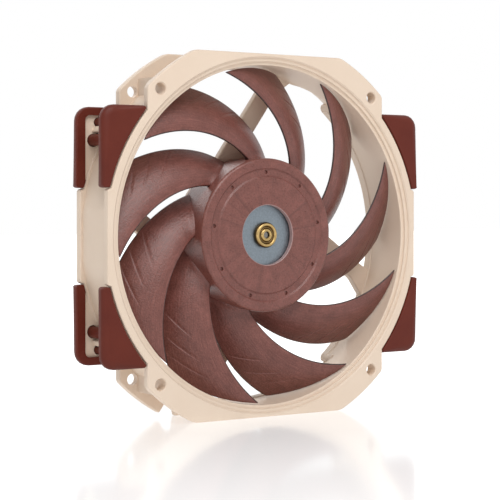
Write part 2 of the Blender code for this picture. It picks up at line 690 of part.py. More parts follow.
def make_boss(parts):
    """Brass bush: a head with a softened edge in front of the yoke, and a neck through it."""
    bore = SHAFT_RADIUS + FIT
    soft = BOSS_HEAD / 2
    head_rear = BOSS_FRONT + BOSS_HEAD
    profile = [(bore, BOSS_FRONT), (BOSS_RADIUS - soft, BOSS_FRONT), (BOSS_RADIUS, BOSS_FRONT + soft),
               (BOSS_RADIUS, head_rear), (BOSS_NECK_RADIUS, head_rear), (BOSS_NECK_RADIUS, BOSS_REAR),
               (bore, BOSS_REAR)]
    return turned("shaft_boss", profile, SMALL_STEPS, parts)


def make_shaft(parts):
    groove = SHAFT_RADIUS - CLIP_GROOVE
    profile = [(0.0, SHAFT_FRONT), (SHAFT_RADIUS, SHAFT_FRONT), (SHAFT_RADIUS, CLIP_FRONT - FIT / 2),
               (groove, CLIP_FRONT - FIT / 2), (groove, CLIP_REAR + FIT / 2), (SHAFT_RADIUS, CLIP_REAR + FIT / 2),
               (SHAFT_RADIUS, SHAFT_REAR), (0.0, SHAFT_REAR)]
    return turned("shaft", profile, SMALL_STEPS, parts)


def make_clip(parts):
    inner = SHAFT_RADIUS - CLIP_GROOVE + FIT / 2
    return ring("retaining_clip", inner, inner + CLIP_WIDTH, CLIP_FRONT, CLIP_REAR, SMALL_STEPS, parts)


# Bearing

def make_bearing(parts):
    tube = ring("bearing_tube", TUBE_BORE, TUBE_RADIUS, TUBE_FRONT, TUBE_REAR, SMALL_STEPS, parts)
    sleeve = ring("bearing_sleeve", SLEEVE_BORE, SLEEVE_RADIUS, SLEEVE_FRONT, SLEEVE_REAR, SMALL_STEPS, parts)
    seal_front = SEAL_FRONT
    seal = ring("oil_seal", SHAFT_RADIUS + SEAL_LIP, SLEEVE_RADIUS, seal_front, seal_front + SEAL_THICKNESS,
                SMALL_STEPS, parts)
    magnet = ring("axial_magnet", SHAFT_RADIUS + SEAL_LIP, SLEEVE_RADIUS, AXIAL_MAGNET_FRONT,
                  AXIAL_MAGNET_FRONT + AXIAL_MAGNET_THICKNESS, SMALL_STEPS, parts)
    disc = [(0.0, PAD_TOP), (SLEEVE_RADIUS, PAD_TOP), (SLEEVE_RADIUS, PAD_TOP + THRUST_PAD_THICKNESS),
            (0.0, PAD_TOP + THRUST_PAD_THICKNESS)]
    return tube, sleeve, seal, magnet, turned("thrust_pad", disc, SMALL_STEPS, parts)


# Stator

def toothed_outline(half_width, reach, shoe_reach=None):
    """A ring with a straight tooth in each direction. With shoe_reach, each tooth ends in a curved shoe."""
    outline = []
    pitch = 360.0 / TOOTH_COUNT
    neck = math.degrees(math.asin(half_width / CORE_RADIUS))
    for tooth in range(TOOTH_COUNT):
        middle = pitch * tooth
        at_end = math.degrees(math.asin(half_width / reach))
        outline.append(polar(CORE_RADIUS, middle - neck))
        if shoe_reach:
            half = (pitch - SHOE_GAP_ANGLE) / 2
            outline += arc(reach, middle - at_end, middle - half, CORNER_STEPS)
            outline += arc(shoe_reach, middle - half, middle + half, ARC_STEPS)
            outline += arc(reach, middle + half, middle + at_end, CORNER_STEPS)
        else:
            outline += [polar(reach, middle - at_end), polar(reach, middle + at_end)]
        outline += arc(CORE_RADIUS, middle + neck, middle + pitch - neck, CORNER_STEPS)[:-1]
    return outline


def make_stator(parts):
    bore = circle(CORE_BORE, SMALL_STEPS)
    core = plate("stator_core", [toothed_outline(TOOTH_WIDTH / 2, SHOE_INNER, STATOR_RADIUS), bore],
                 CORE_FRONT, CORE_REAR, parts)
    cover = [toothed_outline(TOOTH_WIDTH / 2, SHOE_INNER), bore]
    upper = plate("insulator_upper", cover, INSULATOR_FRONT, INSULATOR_FRONT + INSULATOR_THICKNESS, parts)
    lower = plate("insulator_lower", cover, INSULATOR_REAR - INSULATOR_THICKNESS, INSULATOR_REAR, parts)
    return core, upper, lower


def make_coil(index, parts):
    """A winding round one tooth: a frame of rounded section, threaded on the tooth."""
    half = TOOTH_WIDTH / 2 + FIT

    def loop(grow, corner):
        front, rear = INSULATOR_FRONT - FIT - grow, INSULATOR_REAR + FIT + grow
        side = half + grow
        return rounded([(front, -side, corner), (rear, -side, corner), (rear, side, corner), (front, side, corner)])

    coil = plate(f"coil_{index + 1}", [loop(WINDING, WINDING), loop(0.0, 0.0)], -COIL_OUTER, -COIL_INNER, parts)
    across = Matrix.Rotation(math.pi / 2, 4, "Z")
    coil.matrix_world = about_axis(360.0 / TOOTH_COUNT * index) @ across @ coil.matrix_world
    return coil


# Electronics

def make_board(parts):
    loops = [circle(BOARD_RADIUS, HUB_STEPS), circle(TUBE_RADIUS + FIT, SMALL_STEPS)]
    return plate("circuit_board", loops, BOARD_FRONT, BOARD_REAR, parts)


def make_chip(name, size, radius, turn, parts):
    """A moulded chip lying on the board, its long side across the radius."""
    length, width = size
    rear = BOARD_FRONT - FIT
    low = (radius - width / 2, rear - CHIP_HEIGHT, -length / 2)
    high = (radius + width / 2, rear, length / 2)
    return block(name, low, high, parts, turn)


# The whole fan

def carrier(name, parts):
    empty = bpy.data.objects.new(name, None)
    parts.objects.link(empty)
    return empty


def build():
    clear_scene()
    parts = new_collection("case_fan")
    tools = new_collection("case_fan_cutters")
    housing = carrier("housing", parts)
    rotor = carrier("rotor_axis", parts)

    beige = finish("frame_plastic", (0.80, 0.68, 0.53), 0.50)
    brown = finish("blade_plastic", (0.20, 0.085, 0.068), 0.45)
    soft = finish("pad_silicone", (0.17, 0.045, 0.036), 0.60)
    steel = finish("steel", (0.45, 0.52, 0.58), 0.35, 1.0)
    brass = finish("brass", (0.75, 0.52, 0.18), 0.25, 1.0)
    dark = finish("ferrite", (0.05, 0.05, 0.055), 0.55)
    laminate = finish("laminate", (0.30, 0.31, 0.33), 0.45, 1.0)
    copper = finish("enamelled_wire", (0.55, 0.22, 0.08), 0.30, 1.0)
    nylon = finish("nylon", (0.75, 0.74, 0.70), 0.50)
    green = finish("board", (0.03, 0.15, 0.06), 0.45)

    dress(make_frame(parts, tools), beige, housing)
    for side, face in (("front", -1), ("rear", 1)):
        for level, up in (("upper", 1), ("lower", -1)):
            for hand, right in (("left", -1), ("right", 1)):
                pad = make_pad(f"pad_{side}_{level}_{hand}", right, up, face, parts, tools)
                dress(pad, soft, housing)

    for piece, material in zip(make_bearing(parts), (brass, brass, nylon, dark, nylon)):
        dress(piece, material, housing)
    for piece, material in zip(make_stator(parts), (laminate, nylon, nylon)):
        dress(piece, material, housing)
    for index in range(TOOTH_COUNT):
        dress(make_coil(index, parts), copper, housing)
    dress(make_board(parts), green, housing)
    near_magnet = BOARD_RADIUS - HALL_SIZE[1]
    between = (TUBE_RADIUS + BOARD_RADIUS) / 2
    dress(make_chip("hall_sensor", HALL_SIZE, near_magnet, 45.0, parts), dark, housing)
    dress(make_chip("driver_chip", DRIVER_SIZE, between, 225.0, parts), dark, housing)
    dress(make_chip("capacitor_1", CAPACITOR_SIZE, between, 135.0, parts), nylon, housing)
    dress(make_chip("capacitor_2", CAPACITOR_SIZE, between, 315.0, parts), nylon, housing)

    dress(make_impeller(parts, tools), brown, rotor)
    dress(make_yoke(parts), steel, rotor)
    dress(make_magnet(parts), dark, rotor)
    dress(make_boss(parts), brass, rotor)
    dress(make_shaft(parts), steel, rotor)
    dress(make_clip(parts), nylon, rotor)


build()
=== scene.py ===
import math

import bpy
from mathutils import Matrix, Vector


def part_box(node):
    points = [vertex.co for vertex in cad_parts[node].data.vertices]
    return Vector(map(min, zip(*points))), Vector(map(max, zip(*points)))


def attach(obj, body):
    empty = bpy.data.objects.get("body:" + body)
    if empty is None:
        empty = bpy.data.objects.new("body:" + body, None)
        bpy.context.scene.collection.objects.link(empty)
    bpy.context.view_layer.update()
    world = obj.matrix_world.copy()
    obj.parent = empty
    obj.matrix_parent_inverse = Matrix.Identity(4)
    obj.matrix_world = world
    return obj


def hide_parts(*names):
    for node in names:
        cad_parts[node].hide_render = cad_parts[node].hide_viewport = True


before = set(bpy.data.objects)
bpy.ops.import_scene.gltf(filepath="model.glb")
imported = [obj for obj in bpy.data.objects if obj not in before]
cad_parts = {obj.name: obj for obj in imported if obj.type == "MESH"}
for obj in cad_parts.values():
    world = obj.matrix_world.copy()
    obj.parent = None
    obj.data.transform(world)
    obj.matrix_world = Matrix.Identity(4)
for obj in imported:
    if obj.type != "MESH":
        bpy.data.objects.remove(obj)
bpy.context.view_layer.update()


# Frame. One injection-moulded piece in glass-filled plastic: two flanges with screw ears, the round
# duct between them with its stepped inlet, thin webs that carry the corner pads, four slanted struts
# and the motor base. Everything else on the housing is pressed or hooked into it.

def deselect():
    if bpy.context.mode != "OBJECT":
        bpy.ops.object.mode_set(mode="OBJECT")
    bpy.ops.object.select_all(action="DESELECT")


def pick(piece):
    """Makes one piece the active and only selected object."""
    deselect()
    piece.select_set(True)
    bpy.context.view_layer.objects.active = piece


def open_mesh(piece):
    """Goes into edit mode with the whole mesh selected."""
    pick(piece)
    bpy.ops.object.mode_set(mode="EDIT")
    bpy.ops.mesh.select_all(action="SELECT")


def close_mesh():
    bpy.ops.object.mode_set(mode="OBJECT")


def clean(piece, merge=0.000002, sliver=0.000005):
    """Takes out doubled points and faces without area."""
    open_mesh(piece)
    bpy.ops.mesh.remove_doubles(threshold=merge)
    bpy.ops.mesh.dissolve_degenerate(threshold=sliver)
    bpy.ops.mesh.select_all(action="SELECT")
    bpy.ops.mesh.delete_loose(use_verts=True, use_edges=True, use_faces=False)
    close_mesh()


def face_outwards(piece):
    open_mesh(piece)
    bpy.ops.mesh.normals_make_consistent(inside=False)
    close_mesh()


def settle(name):
    """Names the new primitive and moves its place into its mesh."""
    piece = bpy.context.object
    piece.name = name
    piece.data.name = name
    bpy.ops.object.transform_apply(location=True, rotation=True, scale=True)
    return piece


def block(name, corner, opposite):
    deselect()
    middle = [(a + b) / 2 for a, b in zip(corner, opposite)]
    size = [abs(b - a) for a, b in zip(corner, opposite)]
    bpy.ops.mesh.primitive_cube_add(size=1.0, location=middle, scale=size)
    return settle(name)


def rod(name, radius, front, rear, sides, x=0.0, z=0.0):
    deselect()
    bpy.ops.mesh.primitive_cylinder_add(
        vertices=sides, radius=radius, depth=rear - front,
        location=(x, (front + rear) / 2, z), rotation=(math.pi / 2, 0.0, 0.0),
    )
    return settle(name)


def soften(corners, steps=5):
    """A closed outline from (a, b, corner radius), each corner drawn as a short arc."""
    outline = []
    for i, (a, b, radius) in enumerate(corners):
        if radius <= 0.0:
            outline.append((a, b))
            continue
        here = Vector((a, b))
        back = Vector(corners[i - 1][:2]) - here
        ahead = Vector(corners[(i + 1) % len(corners)][:2]) - here
        half_angle = back.angle(ahead) / 2
        inward = (back.normalized() + ahead.normalized()).normalized()
        middle = here + inward * radius / math.sin(half_angle)
        reach = radius / math.tan(half_angle)
        start = here + back.normalized() * reach - middle
        end = here + ahead.normalized() * reach - middle
        sweep = start.angle_signed(end)
        for k in range(steps + 1):
            turn = Matrix.Rotation(-sweep * k / steps, 2)
            outline.append(tuple(middle + turn @ start))
    return outline


def turned(name, corners, steps, x=0.0, z=0.0):
    """A lathe piece about Y: its section is a ring of (radius, Y, corner radius), spun through a turn."""
    section = soften(corners)
    deselect()
    bpy.ops.mesh.primitive_circle_add(vertices=len(section), radius=1.0)
    piece = bpy.context.object
    for point, (radius, y) in zip(piece.data.vertices, section):
        point.co = (radius, y, 0.0)
    open_mesh(piece)
    bpy.ops.mesh.spin(steps=steps, angle=2 * math.pi, center=(0, 0, 0), axis=(0, 1, 0))
    clean(piece, 0.000001, 0.000001)
    face_outwards(piece)
    piece.location = (x, 0.0, z)
    return settle(name)


def slab(name, outline, front, rear):
    """A plate from its outline in X and Z, drawn as a filled ring and extruded along Y."""
    deselect()
    bpy.ops.mesh.primitive_circle_add(vertices=len(outline), radius=1.0, fill_type="NGON")
    piece = bpy.context.object
    for point, (x, z) in zip(piece.data.vertices, outline):
        point.co = (x, front, z)
    open_mesh(piece)
    bpy.ops.mesh.extrude_region_move(TRANSFORM_OT_translate={"value": (0.0, rear - front, 0.0)})
    face_outwards(piece)
    return settle(name)


def slice_off(piece, point, normal):
    """Cuts away what lies beyond a plane and closes the cut."""
    open_mesh(piece)
    bpy.ops.mesh.bisect(plane_co=point, plane_no=normal, use_fill=True, clear_outer=True)
    bpy.ops.mesh.select_all(action="SELECT")
    bpy.ops.mesh.remove_doubles(threshold=0.00005)
    close_mesh()


def work(piece, kind, **settings):
    """Adds one modifier with its settings and applies it."""
    pick(piece)
    bpy.ops.object.modifier_add(type=kind)
    step = piece.modifiers[-1]
    for name, value in settings.items():
        setattr(step, name, value)
    bpy.ops.object.modifier_apply(modifier=step.name)


def carve(piece, tool, operation="DIFFERENCE"):
    """Cuts a tool out of a piece, or joins it on, and puts the tool away."""
    work(piece, "BOOLEAN", operation=operation, solver="EXACT", object=tool)
    bpy.data.objects.remove(tool, do_unlink=True)


def open_edges(piece):
    """Goes into edit mode with no edge selected."""
    pick(piece)
    bpy.ops.object.mode_set(mode="EDIT")
    bpy.ops.mesh.select_mode(type="EDGE")
    bpy.ops.mesh.select_all(action="DESELECT")


def bevel_selected(reach, segments):
    bpy.ops.object.mode_set(mode="EDIT")
    bpy.ops.mesh.bevel(offset=reach, segments=segments, affect="EDGES")
    close_mesh()


def round_corner(piece, x, z, reach):
    """Rounds the edges along Y that stand at one place in X and Z."""
    open_edges(piece)
    close_mesh()
    points = piece.data.vertices
    for edge in piece.data.edges:
        ends = [points[i].co for i in edge.vertices]
        edge.select = all(math.hypot(end.x - x, end.z - z) < 0.00005 for end in ends)
    bevel_selected(reach, 6)


def rimmed_slab(name, outline, front, rear):
    """A plate whose sharp rims, front and rear, are rounded."""
    piece = slab(name, outline, front, rear)
    open_edges(piece)
    bpy.ops.mesh.edges_select_sharp(sharpness=math.radians(60))
    close_mesh()
    points = piece.data.vertices
    for edge in piece.data.edges:
        ends = [points[i].co.y for i in edge.vertices]
        if not any(all(abs(y - level) < 0.00001 for y in ends) for level in (front, rear)):
            edge.select = False
    bevel_selected(0.0006, 3)
    return piece


def smooth(piece):
    """Smooth shading that keeps flat faces flat and true edges sharp."""
    pick(piece)
    bpy.ops.object.shade_smooth_by_angle(angle=math.radians(35))
    work(piece, "WEIGHTED_NORMAL", keep_sharp=True)


def turn_about_axis(piece, degrees):
    """Turns a piece about the fan's axis, counted from +X towards +Z."""
    pick(piece)
    piece.matrix_world = Matrix.Rotation(-math.radians(degrees), 4, "Y") @ piece.matrix_world
    bpy.ops.object.transform_apply(location=True, rotation=True, scale=True)


def arc(radius, start, end, steps):
    return [(radius * math.cos(a), radius * math.sin(a), 0.0)
            for a in (math.radians(start + (end - start) * k / steps) for k in range(steps + 1))]


# The forms between the flanges reach a little way into them, as far as sunk.
quadrants = [(side, up) for side in (-1, 1) for up in (-1, 1)]
flange_face, flange_back, sunk = 0.0125, 0.0093, 0.0098

# A quarter of the flange: a flat side, a round stretch, and an ear with a round end.
quarter = [(0.0711, 0.0174, 0.0011)] + arc(0.0718, 14.40, 40.62, 22) + [(0.0545, 0.05538, 0.0025)]
quarter += arc(0.0777, 46.8, 62.8, 14) + [(0.03373, 0.0700, 0.0060)]
half = quarter + [(-x, z, r) for x, z, r in reversed(quarter)]
flange = soften(half + [(x, -z, r) for x, z, r in reversed(half)])
housing = rimmed_slab("frame_moulding", flange, -flange_face, -flange_back)
carve(housing, rimmed_slab("rear_flange", flange, flange_back, flange_face), "UNION")

duct = rod("duct", 0.0706, -sunk, sunk, 240)
for side in (-1, 1):
    slice_off(duct, (0.0700 * side, 0, 0), (side, 0, 0))
    slice_off(duct, (0, 0, 0.0694 * side), (0, 0, side))
carve(housing, duct, "UNION")

web_x, web_z, rib_angle = 0.0708, 0.0467, 31.7
rib = soften([
    (0.0671, -0.0012, 0), (0.0768, -0.0012, 0.0004),
    (0.0768, 0.0012, 0.0004), (0.0671, 0.0012, 0),
])
for side, up in quadrants:
    for front, rear in ((-0.0110, -sunk), (sunk, 0.0110)):
        inner, outer = (0.0530 * side, front, 0.0196 * up), (web_x * side, rear, web_z * up)
        web = block("pad_web", inner, outer)
        round_corner(web, web_x * side, web_z * up, 0.0034)
        carve(housing, web, "UNION")
    spacer = slab("pad_rib", rib, -0.0104, 0.0104)
    turn_about_axis(spacer, rib_angle * side * up)
    if side < 0:
        turn_about_axis(spacer, 180.0)
    carve(housing, spacer, "UNION")
    inner, outer = (0.0450 * side, -sunk, 0.0500 * up), (0.0464 * side, sunk, 0.0597 * up)
    carve(housing, block("ear_gusset", inner, outer), "UNION")

inlet = [
    (0.0, -0.0160, 0), (0.0690, -0.0160, 0), (0.0690, -0.0125, 0), (0.0685, -0.0120, 0.0002),
    (0.0685, -0.01145, 0.0001), (0.0671, -0.01145, 0.0003), (0.0671, -0.0104, 0.0001),
    (0.0657, -0.0104, 0.0003), (0.0657, 0.0083, 0.0002), (0.0653, 0.0087, 0.0002),
    (0.0653, 0.0122, 0.0002), (0.0657, 0.0126, 0), (0.0657, 0.0160, 0), (0.0, 0.0160, 0),
]
carve(housing, turned("bore", inlet, 240))
flare = [(0.0, 0.0040, 0), (0.0290, 0.0040, 0), (0.0333, 0.0160, 0), (0.0, 0.0160, 0)]
for side, up in quadrants:
    cutter = turned("corner_flare", flare, 120, 0.0216 * side, 0.0297 * up)
    slice_off(cutter, (0, 0, 0), (0.766 * side, 0, -0.643 * up))
    carve(housing, cutter)
    nose = rod("flare_nose", 0.0018, 0.0050, 0.0122, 24, 0.0432 * side, 0.0515 * up)
    carve(housing, nose, "UNION")

base = [
    (0.0, 0.0102, 0), (0.0055, 0.0102, 0), (0.0055, 0.0091, 0), (0.0070, 0.0091, 0),
    (0.0070, 0.0102, 0), (0.0269, 0.0102, 0), (0.0269, 0.0088, 0.0003), (0.0285, 0.0088, 0.0004),
    (0.0285, 0.0122, 0.0007), (0.0, 0.0122, 0),
]
carve(housing, turned("motor_base", base, 144), "UNION")
first_strut, cable_strut = 54.5, 2
for turn, inward in enumerate((0.0, 0.0022, 0.0022, 0.0)):
    low, high = 0.0186 - inward, 0.0262 - inward
    strut_outline = soften([
        (0.0090, high, 0), (0.0200, low, 0), (0.0255, 0.0108, 0), (0.0313, low, 0.0030),
        (0.0560, low, 0.0080), (0.0652, low - 0.0034, 0), (0.0652, high + 0.0004, 0),
        (0.0560, high, 0.0080),
    ])
    strut = rimmed_slab("strut", strut_outline, 0.0089, 0.0123)
    if turn == cable_strut:
        start, end = (0.0185, 0.0105, low + 0.0025), (0.0620, 0.0140, low + 0.0051)
        carve(strut, block("cable_channel", start, end))
    turn_about_axis(strut, first_strut - 90.0 * turn)
    carve(housing, strut, "UNION")
# The recess is turned a little, so that its corners don't fall on the edges of the base.
recess = rod("label_recess", 0.0246, 0.0120, 0.0160, 100)
turn_about_axis(recess, 0.77)
carve(housing, recess)
board_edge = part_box("circuit_board")[1][0]
for turn in range(3):
    post = rod("board_post", 0.0013, 0.0091, 0.0112, 24, board_edge - 0.0028)
    turn_about_axis(post, 120.0 * turn)
    carve(housing, post, "UNION")

ear_x, ear_z = 0.0489, 0.05475
ear_hole = [
    (0.0, -0.0160, 0), (0.0026, -0.0160, 0), (0.0026, -0.0125, 0), (0.0022, -0.0121, 0.0001),
    (0.0022, 0.0121, 0.0001), (0.0026, 0.0125, 0), (0.0026, 0.0160, 0), (0.0, 0.0160, 0),
]
pin_holes = ((0.0654, 0.0359, 0.0025), (0.0632, 0.0427, 0.0019))
for side, up in quadrants:
    lug = rod("ear_boss", 0.0038, -sunk, -0.0072, 32, ear_x * side, ear_z * up)
    carve(housing, lug, "UNION")
    carve(housing, turned("ear_hole", ear_hole, 40, ear_x * side, ear_z * up))
    for x, z, radius in pin_holes:
        for front, rear in ((-0.0118, -0.0090), (0.0090, 0.0118)):
            carve(housing, rod("pin_hole", radius, front, rear, 32, x * side, z * up))
notch = [(-0.0344, -0.0645), (-0.04093, -0.0732), (-0.02877, -0.0732), (-0.0306, -0.0645)]
carve(housing, slab("cable_notch", notch, 0.0061, 0.0157))
clean(housing)
smooth(housing)


def add(nodes, kind, **values):
    """A shader node with its settings, or its input sockets, filled in."""
    made = nodes.new(kind)
    for name, value in values.items():
        if hasattr(made, name):
            setattr(made, name, value)
        else:
            made.inputs[name.replace("_", " ")].default_value = value
    return made


def spread(nodes, link, source, low, high, new_low=0.0, new_high=1.0):
    """Stretches a texture's range."""
    made = add(nodes, "ShaderNodeMapRange",
               From_Min=low, From_Max=high, To_Min=new_low, To_Max=new_high)
    link(source, made.inputs["Value"])
    return made.outputs["Result"]


def mix_colours(nodes, link, amount, under, over):
    """Mixes two colours, each given as three numbers or as a socket."""
    made = add(nodes, "ShaderNodeMix", data_type="RGBA")
    for socket, colour in ((made.inputs[6], under), (made.inputs[7], over)):
        if isinstance(colour, tuple):
            socket.default_value = (*colour, 1.0)
        else:
            link(colour, socket)
    link(amount, made.inputs["Factor"])
    return made.outputs[2]


def texture(nodes, link, surface, source, smoothest, roughest, bump):
    """Lets one pattern vary the gloss of a surface and raise its relief."""
    gloss = spread(nodes, link, source, 0.0, 1.0, smoothest, roughest)
    link(gloss, surface.inputs["Roughness"])
    relief = add(nodes, "ShaderNodeBump", Strength=bump, Distance=0.0001)
    link(source, relief.inputs["Height"])
    link(relief.outputs["Normal"], surface.inputs["Normal"])


def inside(material):
    """A material's nodes, the call that links them, and its surface shader."""
    tree = material.node_tree
    return tree.nodes, tree.links.new, tree.nodes["Principled BSDF"]


def open_material(name):
    material = bpy.data.materials.new(name)
    material.use_nodes = True
    return material, *inside(material)


def open_group(name, inputs, outputs):
    """A node group with its sockets, given as (name, kind, value) and (name, kind)."""
    group = bpy.data.node_groups.new(name, "ShaderNodeTree")
    for label, kind, value in inputs:
        socket = group.interface.new_socket(label, in_out="INPUT", socket_type=f"NodeSocket{kind}")
        socket.default_value = value
    for label, kind in outputs:
        group.interface.new_socket(label, in_out="OUTPUT", socket_type=f"NodeSocket{kind}")
    return group, group.nodes, group.links.new


def grain_group():
    """Moulding grain for every plastic here: slow tone drift and fine spark-eroded texture."""
    group, nodes, link = open_group(
        "moulding_grain",
        [("Tone size", "Float", 60.0), ("Grain size", "Float", 2500.0)],
        [("Tone", "Float"), ("Grain", "Float")],
    )
    given, result = nodes.new("NodeGroupInput"), nodes.new("NodeGroupOutput")
    place = nodes.new("ShaderNodeTexCoord")
    for size, name, detail in (("Tone size", "Tone", 3.0), ("Grain size", "Grain", 2.0)):
        noise = add(nodes, "ShaderNodeTexNoise", Detail=detail, Roughness=0.58)
        link(place.outputs["Object"], noise.inputs["Vector"])
        link(given.outputs[size], noise.inputs["Scale"])
        link(spread(nodes, link, noise.outputs["Fac"], 0.3, 0.7), result.inputs[name])
    return group


moulding_grain = grain_group()


def moulded(name, light, dark, roughness, bump,
            tone_size=60.0, grain_size=2500.0, speckle=0.0, shine=0.5):
    """Moulded plastic: two close tones, grain in gloss and relief and, as speckle, in the colour."""
    material, nodes, link, surface = open_material(name)
    surface.inputs["Specular IOR Level"].default_value = shine
    grain = add(nodes, "ShaderNodeGroup", node_tree=moulding_grain,
                Tone_size=tone_size, Grain_size=grain_size)
    share = add(nodes, "ShaderNodeMix", data_type="FLOAT", Factor=speckle)
    link(grain.outputs["Tone"], share.inputs["A"])
    link(grain.outputs["Grain"], share.inputs["B"])
    tint = mix_colours(nodes, link, share.outputs["Result"], dark, light)
    link(tint, surface.inputs["Base Color"])
    texture(nodes, link, surface, grain.outputs["Grain"], roughness - 0.05, roughness + 0.06, bump)
    return material


beige = moulded("beige_plastic", (0.725, 0.590, 0.470), (0.700, 0.560, 0.440), 0.46, 0.25)
housing.data.materials.append(beige)
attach(housing, "housing")
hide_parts("frame")


# Corner pads. Eight soft silicone pieces that keep the frame off the case: each is a thick skin with
# rounded edges, hooked round a web of the frame through a slot and held by two moulded pins.

def limit(*values):
    """The least of some values, kept between 0 and 1."""
    return max(0.0, min(1.0, *values))


def pillow(name, outline, front, rear, radius, softness):
    """A plate with rims rounded layer by layer. Softness says how much of it each place gets."""
    front_depth, rear_reach = 0.65 * radius, 0.2 * radius
    layers = [(front + front_depth * (1 - math.sin(a)), radius * (1 - math.cos(a)))
              for a in (math.radians(11.25 * k) for k in range(8, -1, -1))]
    layers += [(rear - rear_reach * (1 - math.sin(a)), rear_reach * (1 - math.cos(a)))
               for a in (math.radians(30.0 * k) for k in range(4))]
    count = len(outline)
    inward = []
    for i, (x, z) in enumerate(outline):
        (x0, z0), (x1, z1) = outline[i - 1], outline[(i + 1) % count]
        length = math.hypot(x1 - x0, z1 - z0)
        share = softness(x, z)
        inward.append((-(z1 - z0) / length * share, (x1 - x0) / length * share))
    deselect()
    bpy.ops.mesh.primitive_circle_add(vertices=count, radius=1.0, fill_type="NGON")
    piece = bpy.context.object
    for level, (y, inset) in enumerate(layers):
        if level:
            bpy.ops.object.mode_set(mode="EDIT")
            bpy.ops.mesh.extrude_region_move()
            close_mesh()
        chosen = [point for point in piece.data.vertices if point.select]
        for point, (x, z), (dx, dz) in zip(chosen, outline, inward):
            point.co = (x + dx * inset, y, z + dz * inset)
    face_outwards(piece)
    return settle(name)


flange_round = 0.0721


def pad_softness(x, z):
    """Full along the outer sides, little at the cut end and along the round side against the flange."""
    away = limit((math.hypot(x, z) - flange_round) / 0.0050)
    above = limit((z - 0.0186) / 0.0060)
    return 0.15 + 0.85 * away * away * (3.0 - 2.0 * away) * above * (2.0 - above)


pad_corners = [
    (0.06982, 0.0180, 0.0008), (0.0730, 0.0180, 0.0012), (0.0730, 0.0484, 0.0054),
    (0.0548, 0.0484, 0.0008), (0.0548, 0.04685, 0.0008),
] + arc(flange_round, 39.6, 15.4, 22)
pad = pillow("pad", soften(pad_corners), -0.0125, -0.0085, 0.0034, pad_softness)
slot = block("pad_slot", (0.0450, -0.0113, 0.0193), (0.0711, -0.0095, 0.0471))
round_corner(slot, 0.0711, 0.0471, 0.0037)
carve(pad, slot)
mouth = block("pad_mouth", (0.0450, -0.0104, 0.0211), (0.0693, -0.0070, 0.0453))
round_corner(mouth, 0.0693, 0.0453, 0.0019)
carve(pad, mouth)
pin_root, pin_end = -0.0119, -0.0010
for x, z, radius in ((0.0654, 0.0360, 0.0022), (0.0632, 0.0428, 0.0016)):
    pin = [(0.0, pin_root, 0), (radius, pin_root, 0), (radius, pin_end, 0.0004), (0.0, pin_end, 0)]
    carve(pad, turned("pad_pin", pin, 32, x, z), "UNION")
smooth(pad)
silicone = moulded("brown_silicone", (0.116, 0.017, 0.008), (0.098, 0.013, 0.006), 0.50, 0.15,
                   90.0, 1800.0, shine=0.24)
pad.data.materials.append(silicone)

for face, y_sign in (("front", 1), ("rear", -1)):
    for level, z_sign in (("upper", 1), ("lower", -1)):
        for hand, x_sign in (("right", 1), ("left", -1)):
            node = f"pad_{face}_{level}_{hand}"
            pick(pad)
            bpy.ops.object.duplicate()
            copy = bpy.context.object
            copy.name = copy.data.name = f"soft_{node}"
            copy.scale = (x_sign, y_sign, z_sign)
            bpy.ops.object.transform_apply(location=True, rotation=True, scale=True)
            face_outwards(copy)
            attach(copy, "housing")
            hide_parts(node)
bpy.data.objects.remove(pad, do_unlink=True)


# Impeller. Hub and blades are one moulding in fibre-filled plastic, pressed over the steel yoke. The
# hub's face has a ring channel with one gate mark for each blade, and a round hole over the yoke. The
# front of each blade has three shallow grooves that run across it.

hub_radius, blade_length, blade_count = 0.0298, 0.0349, 9
blade_step = 360.0 / blade_count
hub = [
    (0.0116, -0.0105, 0.00035), (0.0224, -0.0105, 0.00030), (0.0230, -0.0099, 0.00010),
    (0.0254, -0.0099, 0.00010), (0.0260, -0.0105, 0.00030), (hub_radius, -0.0105, 0.0013),
    (hub_radius, 0.0080, 0.0003), (0.0279, 0.0080, 0.0003), (0.0279, -0.0084, 0.0005),
    (0.0116, -0.0084, 0.0002),
]
impeller = turned("impeller_moulding", hub, 216)
gate_ring = 0.0244
for number in range(blade_count):
    angle = math.radians(91.3 - blade_step * number)
    x, z = gate_ring * math.cos(angle), gate_ring * math.sin(angle)
    carve(impeller, rod("gate_mark", 0.00078, -0.0120, -0.0093, 20, x, z))
smooth(impeller)

